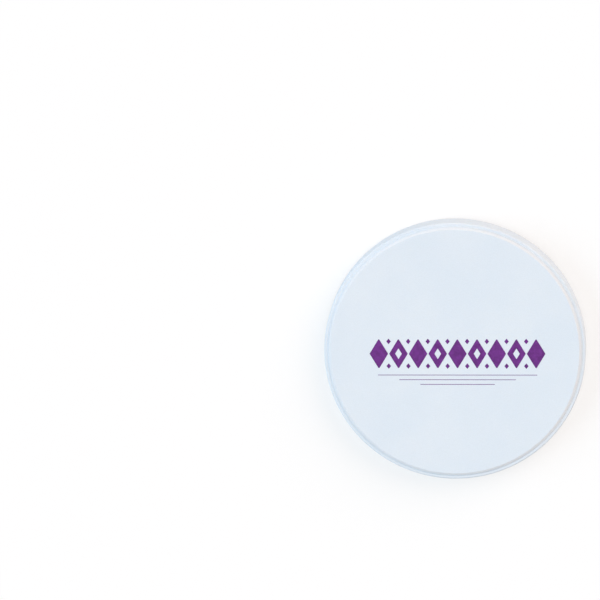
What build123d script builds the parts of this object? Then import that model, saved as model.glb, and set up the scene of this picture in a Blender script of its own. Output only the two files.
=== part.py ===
import os

from build123d import *

# A blank of pre-sintered zirconia that a dental mill cuts crowns and bridges from.
# It is pressed and turned in one piece: a collar that the mill's ring holder clamps,
# with a raised round face on each side that stands clear of the holder.
# Millimetres. The axis is +Z and the back face lies on the XY plane.

collar_diameter = 98.5
collar_height = 10.0
shoulder_width = 1.5  # the ledge of the collar outside each raised face
face_height = 1.0  # how far each raised face stands out of the collar

bevel_width = 0.9  # the slope round the edge of each raised face
step_wall = 0.1  # the upright wall between that slope and the corner below it
root_radius = 0.3  # left by the turning tool where a raised face meets the collar
collar_chamfer = 0.4

collar_radius = collar_diameter / 2
face_radius = collar_radius - shoulder_width
flat_radius = face_radius - bevel_width
bevel_height = face_height - step_wall - root_radius
collar_bottom = face_height
collar_top = collar_bottom + collar_height
thickness = collar_top + face_height

with BuildPart() as milling_disc:
    # Half of the section, from the axis out to the collar.
    with BuildSketch(Plane.XZ):
        with BuildLine():
            Polyline(
                (0, 0),
                (flat_radius, 0),
                (face_radius, bevel_height),
                (face_radius, collar_bottom),
                (collar_radius, collar_bottom),
                (collar_radius, collar_top),
                (face_radius, collar_top),
                (face_radius, thickness - bevel_height),
                (flat_radius, thickness),
                (0, thickness),
                close=True,
            )
        make_face()
    revolve(axis=Axis.Z)

    # The inner corners of both steps, at the foot of the raised faces.
    rings = milling_disc.edges().filter_by(GeomType.CIRCLE)
    step_rings = rings.filter_by(lambda ring: abs(ring.radius - face_radius) < 0.01).sort_by(Axis.Z)
    fillet(step_rings[1:3], root_radius)

    # The collar's two outer edges.
    rings = milling_disc.edges().filter_by(GeomType.CIRCLE)
    chamfer(rings.group_by(SortBy.RADIUS)[-1], collar_chamfer)

milling_disc.part.label = "milling_disc"

os.makedirs("parts", exist_ok=True)
export_step(milling_disc.part, "parts/milling_disc.step")
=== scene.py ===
import math

import bmesh
import bpy
from mathutils import Matrix, Vector


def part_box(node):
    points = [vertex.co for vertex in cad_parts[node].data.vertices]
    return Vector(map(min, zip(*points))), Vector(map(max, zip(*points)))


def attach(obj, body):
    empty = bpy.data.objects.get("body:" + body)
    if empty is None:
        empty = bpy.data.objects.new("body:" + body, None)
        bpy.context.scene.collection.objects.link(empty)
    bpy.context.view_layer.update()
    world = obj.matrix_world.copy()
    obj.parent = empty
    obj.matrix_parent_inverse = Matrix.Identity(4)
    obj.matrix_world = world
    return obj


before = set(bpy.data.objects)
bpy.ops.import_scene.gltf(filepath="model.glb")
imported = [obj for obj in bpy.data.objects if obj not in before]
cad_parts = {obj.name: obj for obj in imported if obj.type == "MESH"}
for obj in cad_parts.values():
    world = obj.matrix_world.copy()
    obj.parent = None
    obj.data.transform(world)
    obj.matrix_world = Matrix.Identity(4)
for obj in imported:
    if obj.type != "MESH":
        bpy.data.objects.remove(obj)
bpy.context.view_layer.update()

MM = 0.001
WHITE = (1.0, 1.0, 1.0, 1.0)

# The disc lies round the Z axis. Its raised face stands inside and above the collar.
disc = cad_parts["milling_disc"]
disc_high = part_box("milling_disc")[1]
FACE_HEIGHT = 1.0 * MM
SHOULDER_WIDTH = 1.5 * MM
FRONT = disc_high.z
COLLAR_FRONT = FRONT - FACE_HEIGHT
FACE_RADIUS = disc_high.x - SHOULDER_WIDTH
SLOPE_WIDTH = 0.9 * MM  # the slope round the edge of the raised face
SLOPE_BLEND = 0.1 * MM  # how softly the slope's painted warm tint starts and stops

# The photograph, in pixels of its 600 x 600 frame. Its lens is long: the disc is nearly undistorted.
PHOTO_SIZE = 600.0
FOCAL_PIXELS = 5000.0
SENSOR_WIDTH = 36.0

# The disc as the camera sees it: the place of the collar's front ring from the camera,
# and the tilt of the disc, which shows its top and right walls.
RING_FROM_CAMERA = Vector((58.3, -19.45, -1882.7)) * MM
TILT_ABOUT_X = math.radians(11.6)
TILT_ABOUT_Y = math.radians(-3.8)

# The ceramic: its colours, and the sizes of what is seen on its surface.
PALE_CERAMIC = (0.765, 0.838, 0.908, 1.0)
DEEP_CERAMIC = (0.741, 0.822, 0.900, 1.0)
# Painted warm tint for the slope round the raised face, standing in for warm light on it.
WARM_LIT_SLOPE_CERAMIC = (0.785, 0.832, 0.885, 1.0)
# Whiter colour for the edges: partly rubbed-off powder, partly a painted highlight.
RUBBED_AND_HIGHLIT_EDGE_CERAMIC = (0.84, 0.88, 0.93, 1.0)
CLOUD_SIZE = 18 * MM
GRAIN_SIZE = 0.35 * MM
SCUFF_SIZE = 1.5 * MM
TURNING_PITCH = 0.22 * MM
EDGE_RADIUS = 0.12 * MM
# Where the painted shade in the corner at the foot of the slope is full and where it fades out.
CORNER_SHADE_NEAR = 0.15 * MM
CORNER_SHADE_FAR = 0.5 * MM

# The print: a border of lozenges and dots over fine rules, drawn for this part.
FULL_INK = (0.09975, 0.015, 0.1545, 1.0)
THIN_INK = (0.2075, 0.038, 0.317, 1.0)
INK_PATCH_SIZE = 1.6 * MM
INK_GRAIN_SIZE = 0.25 * MM
INK_THICKNESS = 0.03 * MM
INK_ROOTED = 0.03 * MM  # how far the film reaches into the face
PRINT_CENTRE = Vector((1.0, -0.6)) * MM
LOZENGES = 9
LOZENGE_PITCH = 7.4 * MM
LOZENGE_WIDTH = 7.0 * MM
LOZENGE_HEIGHT = 11.6 * MM
LOZENGE_CORNER = 0.3 * MM
WINDOW_WIDTH = LOZENGE_WIDTH * 0.36  # the bare middle of every second lozenge
WINDOW_HEIGHT = LOZENGE_HEIGHT * 0.36
WINDOW_CORNER = 0.12 * MM
DOT_WIDTH = 1.7 * MM
DOT_HEIGHT = DOT_WIDTH * 1.25
DOT_CORNER = 0.1 * MM
DOT_OFFSET = LOZENGE_HEIGHT / 2 - DOT_WIDTH * 0.62  # from the middle of the border
RULES = 3
RULE_WIDTH = 0.2 * MM
RULE_CORNER = RULE_WIDTH * 0.3
RULE_LENGTH = 60.0 * MM
RULE_SHORTENING = 16.0 * MM
RULE_DROP = 8.2 * MM
RULE_PITCH = 1.8 * MM
CORNER_STEPS = 4

# The studio. A colour is also a strength: white is a light at which a white surface renders white.
FLOOR_REACH = 12.0
FLOOR_COLOUR = (0.8, 0.8, 0.8, 1.0)
FLOOR_GLOW = 0.6  # how much of the floor's seen white is its own, which keeps its shadows light
ROOM_LIGHT = (0.507, 0.488, 0.469, 1.0)
RIGHT_SOFTBOX = (0.508, 0.421, 0.374)
LEFT_WINDOW = (0.303, 0.405, 0.491)
LIGHT_ELEVATION = 38
LIGHT_WIDTH = 50


class Nodes:
    """Short calls for building one node tree."""

    def __init__(self, tree):
        self.tree = tree
        self.tree.nodes.clear()

    def add(self, kind, inputs=None, **settings):
        node = self.tree.nodes.new(kind)
        for name, value in settings.items():
            setattr(node, name, value)
        for name, value in (inputs or {}).items():
            socket = node.inputs[name]
            if isinstance(value, bpy.types.NodeSocket):
                self.tree.links.new(value, socket)
            else:
                socket.default_value = value
        return node

    def math(self, operation, first, second=0.0):
        return self.add("ShaderNodeMath", {0: first, 1: second}, operation=operation).outputs[0]

    def noise(self, size, detail, place):
        inputs = {"Scale": 1 / size, "Detail": detail, "Vector": place}
        return self.add("ShaderNodeTexNoise", inputs).outputs["Fac"]

    def remap(self, value, low, high, to_low, to_high):
        inputs = {"Value": value, "From Min": low, "From Max": high, "To Min": to_low, "To Max": to_high}
        return self.add("ShaderNodeMapRange", inputs).outputs["Result"]

    def mix(self, factor, first, second):
        node = self.add("ShaderNodeMix", {0: factor, 6: first, 7: second}, data_type="RGBA")
        return node.outputs[2]

    def seen_directly(self):
        """1 for rays from the camera and for reflections, 0 for the light that falls on the object."""
        path = self.add("ShaderNodeLightPath").outputs
        return self.math("MAXIMUM", path["Is Camera Ray"], path["Is Glossy Ray"])


def new_material(name):
    material = bpy.data.materials.new(name)
    material.use_nodes = True
    return material, Nodes(material.node_tree)


def zirconia_material():
    """Chalky pre-sintered ceramic: matt, pale blue-white, with faint cloudiness and turning marks."""
    material, n = new_material("zirconia")
    place = n.add("ShaderNodeTexCoord").outputs["Object"]
    x, y, z = n.add("ShaderNodeSeparateXYZ", {0: place}).outputs
    radius = n.math("SQRT", n.math("ADD", n.math("MULTIPLY", x, x), n.math("MULTIPLY", y, y)))
    cloud = n.noise(CLOUD_SIZE, 3.0, place)
    grain = n.noise(GRAIN_SIZE, 4.0, place)
    colour = n.mix(n.remap(cloud, 0.35, 0.65, 0.0, 1.0), PALE_CERAMIC, DEEP_CERAMIC)

    # The slope round the raised face gets a painted warm tint that stands in for warm light falling on it,
    # and the corner at its foot is darkened with painted shade.
    from_corner = n.math("SUBTRACT", FACE_RADIUS, radius)
    begins = n.remap(from_corner, 0.0, SLOPE_BLEND * 2, 0.0, 1.0)
    ends = n.remap(from_corner, SLOPE_WIDTH - SLOPE_BLEND, SLOPE_WIDTH + SLOPE_BLEND, 1.0, 0.0)
    colour = n.mix(n.math("MULTIPLY", begins, ends), colour, WARM_LIT_SLOPE_CERAMIC)
    # Painted shade: the ceramic is made up to 3.5 percent darker near the corner at the foot of the slope.
    painted_corner_shade = n.remap(n.math("ABSOLUTE", from_corner), CORNER_SHADE_NEAR, CORNER_SHADE_FAR, 0.965, 1.0)
    speck = n.remap(grain, 0.3, 0.7, 0.975, 1.02)
    shade = n.math("MULTIPLY", speck, painted_corner_shade)
    colour = n.add("ShaderNodeVectorMath", {0: colour, "Scale": shade}, operation="SCALE").outputs[0]

    # The edges are painted a little whiter, partly as powder rubbed off with handling and partly as a
    # painted highlight along them; the bevel leaves them softer.
    facing = n.add("ShaderNodeNewGeometry").outputs["Normal"]
    softened = n.add("ShaderNodeBevel", {"Radius": EDGE_RADIUS}, samples=8).outputs[0]
    turn = n.add("ShaderNodeVectorMath", {0: softened, 1: facing}, operation="DOT_PRODUCT").outputs["Value"]
    edge = n.remap(turn, 0.88, 1.0, 1.0, 0.0)
    scuffs = n.remap(n.noise(SCUFF_SIZE, 4.0, place), 0.35, 0.6, 0.2, 1.0)
    colour = n.mix(n.math("MULTIPLY", edge, scuffs), colour, RUBBED_AND_HIGHLIT_EDGE_CERAMIC)

    # Turning marks run round the axis. Twice the radius plus the height changes all along the section,
    # on the flats, the walls and both kinds of slope. The marks are strongest on the walls.
    along = n.math("ADD", n.math("MULTIPLY", radius, 2.0), z)
    inputs = {"W": along, "Scale": 1 / TURNING_PITCH, "Detail": 2.0}
    marks = n.add("ShaderNodeTexNoise", inputs, noise_dimensions="1D").outputs["Fac"]
    upright = n.add("ShaderNodeSeparateXYZ", {0: facing}).outputs[2]
    wall = n.remap(n.math("ABSOLUTE", upright), 0.2, 0.9, 1.0, 0.12)
    turned = n.math("MULTIPLY", n.math("MULTIPLY", marks, wall), 0.8)
    height = n.math("ADD", turned, n.math("MULTIPLY", grain, 0.5))
    inputs = {"Strength": 0.25, "Distance": 0.02 * MM, "Height": height, "Normal": softened}
    bump = n.add("ShaderNodeBump", inputs).outputs[0]

    shader = n.add(
        "ShaderNodeBsdfPrincipled",
        {
            "Base Color": colour,
            "Roughness": n.remap(grain, 0.3, 0.7, 0.52, 0.66),
            "Normal": bump,
            "Subsurface Weight": 0.15,
            "Subsurface Radius": (1.0, 0.9, 0.8),
            "Subsurface Scale": 1.0 * MM,
            "Specular IOR Level": 0.35,
        },
    )
    n.add("ShaderNodeOutputMaterial", {"Surface": shader.outputs[0]})
    return material


def ink_material():
    """Printing ink on a chalky face: a little uneven, and drier than the ceramic round it."""
    material, n = new_material("purple_ink")
    place = n.add("ShaderNodeTexCoord").outputs["Object"]
    patches = n.noise(INK_PATCH_SIZE, 3.0, place)
    grain = n.noise(INK_GRAIN_SIZE, 3.0, place)
    thinness = n.math("MULTIPLY", n.remap(patches, 0.35, 0.65, 0.2, 0.9), n.remap(grain, 0.3, 0.7, 0.4, 1.0))
    bump = n.add("ShaderNodeBump", {"Strength": 0.2, "Distance": 0.01 * MM, "Height": grain}).outputs[0]
    shader = n.add(
        "ShaderNodeBsdfPrincipled",
        {
            "Base Color": n.mix(thinness, FULL_INK, THIN_INK),
            "Roughness": n.remap(grain, 0.3, 0.7, 0.5, 0.65),
            "Normal": bump,
            "Specular IOR Level": 0.3,
        },
    )
    n.add("ShaderNodeOutputMaterial", {"Surface": shader.outputs[0]})
    return material


def floor_material():
    """White paper. The camera sees it as white, with a light shadow of the disc on it."""
    material, n = new_material("floor")
    seen = n.seen_directly()
    diffuse = n.add("ShaderNodeBsdfDiffuse", {"Color": n.mix(seen, FLOOR_COLOUR, WHITE)}).outputs[0]
    glow = n.add("ShaderNodeEmission", {"Color": WHITE, "Strength": 1.0}).outputs[0]
    share = n.math("MULTIPLY", seen, FLOOR_GLOW)
    paper = n.add("ShaderNodeMixShader", {0: share, 1: diffuse, 2: glow}).outputs[0]
    n.add("ShaderNodeOutputMaterial", {"Surface": paper})
    return material


def piece_from(name, mesh_builder, material):
    mesh = bpy.data.meshes.new(name)
    bm = bmesh.new()
    mesh_builder(bm)
    bmesh.ops.recalc_face_normals(bm, faces=bm.faces)
    bm.to_mesh(mesh)
    bm.free()
    mesh.materials.append(material)
    piece = bpy.data.objects.new(name, mesh)
    bpy.context.scene.collection.objects.link(piece)
    return piece


def rounded(corners, corner_radius):
    """The outline through straight-sided corners, each rounded by an arc of the given radius."""
    outline = []
    count = len(corners)
    for i, corner in enumerate(corners):
        before = (corners[i - 1] - corner).normalized()
        after = (corners[(i + 1) % count] - corner).normalized()
        half = before.angle(after) / 2
        centre = corner + (before + after).normalized() * corner_radius / math.sin(half)
        start = (corner + before * corner_radius / math.tan(half) - centre).normalized()
        end = (corner + after * corner_radius / math.tan(half) - centre).normalized()
        for step in range(CORNER_STEPS + 1):
            outline.append(centre + start.slerp(end, step / CORNER_STEPS) * corner_radius)
    return outline


def lozenge(centre, width, height, corner_radius):
    x, y = width / 2, height / 2
    corners = [Vector(p) for p in ((x, 0), (0, y), (-x, 0), (0, -y))]
    return rounded([centre + c for c in corners], corner_radius)


def bar(centre, width, height, corner_radius):
    x, y = width / 2, height / 2
    corners = [Vector(p) for p in ((x, -y), (x, y), (-x, y), (-x, -y))]
    return rounded([centre + c for c in corners], corner_radius)


def ink_film(bm, outline, window=None):
    """One closed film of ink on the front face. A window in it has as many points as its outline."""
    heights = (FRONT - INK_ROOTED, FRONT + INK_THICKNESS)
    outer = [[bm.verts.new((p.x, p.y, z)) for p in outline] for z in heights]
    inner = [[bm.verts.new((p.x, p.y, z)) for p in window or ()] for z in heights]
    count = len(outline)
    for i in range(count):
        j = (i + 1) % count
        bm.faces.new((outer[0][i], outer[0][j], outer[1][j], outer[1][i]))
        if window:
            bm.faces.new((inner[0][j], inner[0][i], inner[1][i], inner[1][j]))
            bm.faces.new((outer[1][i], outer[1][j], inner[1][j], inner[1][i]))
            bm.faces.new((outer[0][j], outer[0][i], inner[0][i], inner[0][j]))
    if not window:
        bm.faces.new(outer[0][::-1])
        bm.faces.new(outer[1])


def lozenge_border(bm):
    middle = (LOZENGES - 1) / 2
    for i in range(LOZENGES):
        centre = PRINT_CENTRE + Vector(((i - middle) * LOZENGE_PITCH, 0))
        window = lozenge(centre, WINDOW_WIDTH, WINDOW_HEIGHT, WINDOW_CORNER) if i % 2 else None
        ink_film(bm, lozenge(centre, LOZENGE_WIDTH, LOZENGE_HEIGHT, LOZENGE_CORNER), window)


def dots_between(bm):
    """Small lozenges in the notches above and below, where two large ones meet."""
    middle = (LOZENGES - 2) / 2
    for i in range(LOZENGES - 1):
        for side in (-1, 1):
            centre = PRINT_CENTRE + Vector(((i - middle) * LOZENGE_PITCH, side * DOT_OFFSET))
            ink_film(bm, lozenge(centre, DOT_WIDTH, DOT_HEIGHT, DOT_CORNER))


def fine_rules(bm):
    """Hairlines below the border, each shorter than the one above."""
    for i in range(RULES):
        centre = PRINT_CENTRE - Vector((0, RULE_DROP + i * RULE_PITCH))
        ink_film(bm, bar(centre, RULE_LENGTH - i * RULE_SHORTENING, RULE_WIDTH, RULE_CORNER))


def make_print():
    ink = ink_material()
    drawings = {"print_lozenges": lozenge_border, "print_dots": dots_between, "print_rules": fine_rules}
    for name, draw in drawings.items():
        piece = piece_from(name, draw, ink)
        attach(piece, "root")


def make_floor():
    r = FLOOR_REACH
    mesh = bpy.data.meshes.new("floor")
    mesh.from_pydata([(-r, -r, 0), (r, -r, 0), (r, r, 0), (-r, r, 0)], [], [(0, 1, 2, 3)])
    mesh.materials.append(floor_material())
    floor = bpy.data.objects.new("floor", mesh)
    bpy.context.scene.collection.objects.link(floor)


def sun(name, azimuth, colour):
    """A broad soft light. Azimuth 0 is the disc's right, 90 the top of its print."""
    light = bpy.data.lights.new(name, "SUN")
    light.energy = math.pi
    light.angle = math.radians(LIGHT_WIDTH)
    light.color = colour
    lamp = bpy.data.objects.new(name, light)
    a, e = math.radians(azimuth), math.radians(LIGHT_ELEVATION)
    towards = Vector((math.cos(a) * math.cos(e), math.sin(a) * math.cos(e), math.sin(e)))
    lamp.rotation_mode = "QUATERNION"
    lamp.rotation_quaternion = towards.to_track_quat("Z", "Y")
    bpy.context.scene.collection.objects.link(lamp)


def make_lights():
    world = bpy.data.worlds.new("studio")
    world.use_nodes = True
    n = Nodes(world.node_tree)
    light = n.mix(n.seen_directly(), ROOM_LIGHT, WHITE)
    background = n.add("ShaderNodeBackground", {"Color": light}).outputs[0]
    n.add("ShaderNodeOutputWorld", {"Surface": background})
    bpy.context.scene.world = world
    sun("right_softbox", 45, RIGHT_SOFTBOX)
    sun("left_window", 180, LEFT_WINDOW)


def make_camera():
    data = bpy.data.cameras.new("camera")
    data.sensor_width = SENSOR_WIDTH
    data.lens = SENSOR_WIDTH * FOCAL_PIXELS / PHOTO_SIZE
    data.clip_start = 0.01
    data.clip_end = 100.0
    camera = bpy.data.objects.new("camera", data)
    tilt = Matrix.Rotation(TILT_ABOUT_Y, 3, "Y") @ Matrix.Rotation(TILT_ABOUT_X, 3, "X")
    ring_centre = Vector((0, 0, COLLAR_FRONT))
    facing = tilt.transposed()
    camera.matrix_world = Matrix.Translation(ring_centre - facing @ RING_FROM_CAMERA) @ facing.to_4x4()
    bpy.context.scene.collection.objects.link(camera)
    bpy.context.scene.camera = camera


disc.data.materials.clear()
disc.data.materials.append(zirconia_material())
make_print()
make_floor()
make_lights()
make_camera()
bpy.context.scene.view_settings.view_transform = "Standard"
